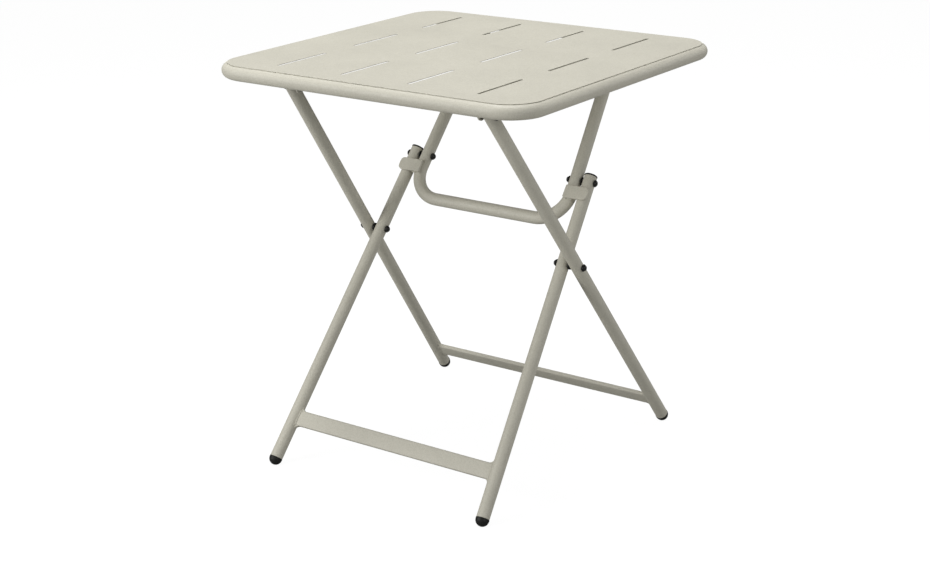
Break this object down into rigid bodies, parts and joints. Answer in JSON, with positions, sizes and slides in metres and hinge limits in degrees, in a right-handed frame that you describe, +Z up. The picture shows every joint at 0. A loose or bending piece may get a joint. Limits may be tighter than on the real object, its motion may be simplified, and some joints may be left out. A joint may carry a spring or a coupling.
{
  "type": "folding side table",
  "caption": "Square folding table: slotted sheet top in a round tube ring, crossed tube legs joined by flat bars, and a U-shaped knee brace that locks it open.",
  "frame": {"origin": "on the floor, under the centre of the table top", "axes": "+Z up, +X along the crossbars to the table's right side, +Y to the edge above the rear feet"},
  "size_m": [0.63, 0.63, 0.71],
  "materials": {
    "powder_coat": "fine-textured matt powder coat, warm light grey-beige",
    "black_steel": "satin black coated steel",
    "black_plastic": "matt black moulded plastic"
  },
  "bodies": {
    "rear_leg_frame": {"rear_leg_left": "powder_coat", "rear_leg_right": "powder_coat", "rear_foot_left": "black_plastic", "rear_foot_right": "black_plastic", "rear_leg_plug_left": "black_plastic", "rear_leg_plug_right": "black_plastic", "rear_crossbar": "powder_coat", "cross_bolt_left": "black_steel", "cross_bolt_right": "black_steel", "cross_nut_left": "black_steel", "cross_nut_right": "black_steel", "cross_spacer_left": "black_plastic", "cross_spacer_right": "black_plastic"},
    "front_leg_frame": {"front_leg_left": "powder_coat", "front_leg_right": "powder_coat", "front_foot_left": "black_plastic", "front_foot_right": "black_plastic", "front_leg_plug_left": "black_plastic", "front_leg_plug_right": "black_plastic", "front_crossbar": "powder_coat", "knee_bolt_outer_left": "black_steel", "knee_bolt_outer_right": "black_steel", "knee_spacer_left": "black_plastic", "knee_spacer_right": "black_plastic"},
    "top": {"top_ring": "powder_coat", "top_panel": "powder_coat", "side_rail_left": "powder_coat", "side_rail_right": "powder_coat", "leg_pivot_plate_left": "powder_coat", "leg_pivot_plate_right": "powder_coat", "leg_pivot_bolt_left": "black_steel", "leg_pivot_bolt_right": "black_steel", "leg_pivot_nut_left": "black_steel", "leg_pivot_nut_right": "black_steel", "leg_pivot_spacer_left": "black_plastic", "leg_pivot_spacer_right": "black_plastic", "brace_pivot_plate_left": "powder_coat", "brace_pivot_plate_right": "powder_coat", "brace_pivot_bolt_left": "black_steel", "brace_pivot_bolt_right": "black_steel", "brace_pivot_nut_left": "black_steel", "brace_pivot_nut_right": "black_steel", "brace_pivot_spacer_left": "black_plastic", "brace_pivot_spacer_right": "black_plastic"},
    "brace": {"brace_tube": "powder_coat", "stop_plate_left": "powder_coat", "stop_plate_right": "powder_coat", "brace_plug_left": "black_plastic", "brace_plug_right": "black_plastic", "knee_bolt_inner_left": "black_steel", "knee_bolt_inner_right": "black_steel"}
  },
  "joints": [
    {"name": "leg_fold", "type": "hinge", "parent": "rear_leg_frame", "child": "front_leg_frame", "pos_m": [0, -0.00435, 0.36673], "axis": [1, 0, 0], "range_deg": [0, 73]},
    {"name": "top_tilt", "type": "hinge", "parent": "rear_leg_frame", "child": "top", "pos_m": [0, -0.23085, 0.6695], "axis": [1, 0, 0], "range_deg": [-53.2, 0]},
    {"name": "brace_swing", "type": "hinge", "parent": "top", "child": "brace", "pos_m": [0, 0.24896, 0.687], "axis": [1, 0, 0], "range_deg": [-49.57, 0]}
  ],
  "couplings": [
    {"joint": "top_tilt", "follows": "leg_fold", "ratio": -0.72877},
    {"joint": "brace_swing", "follows": "leg_fold", "ratio": -0.679}
  ]
}
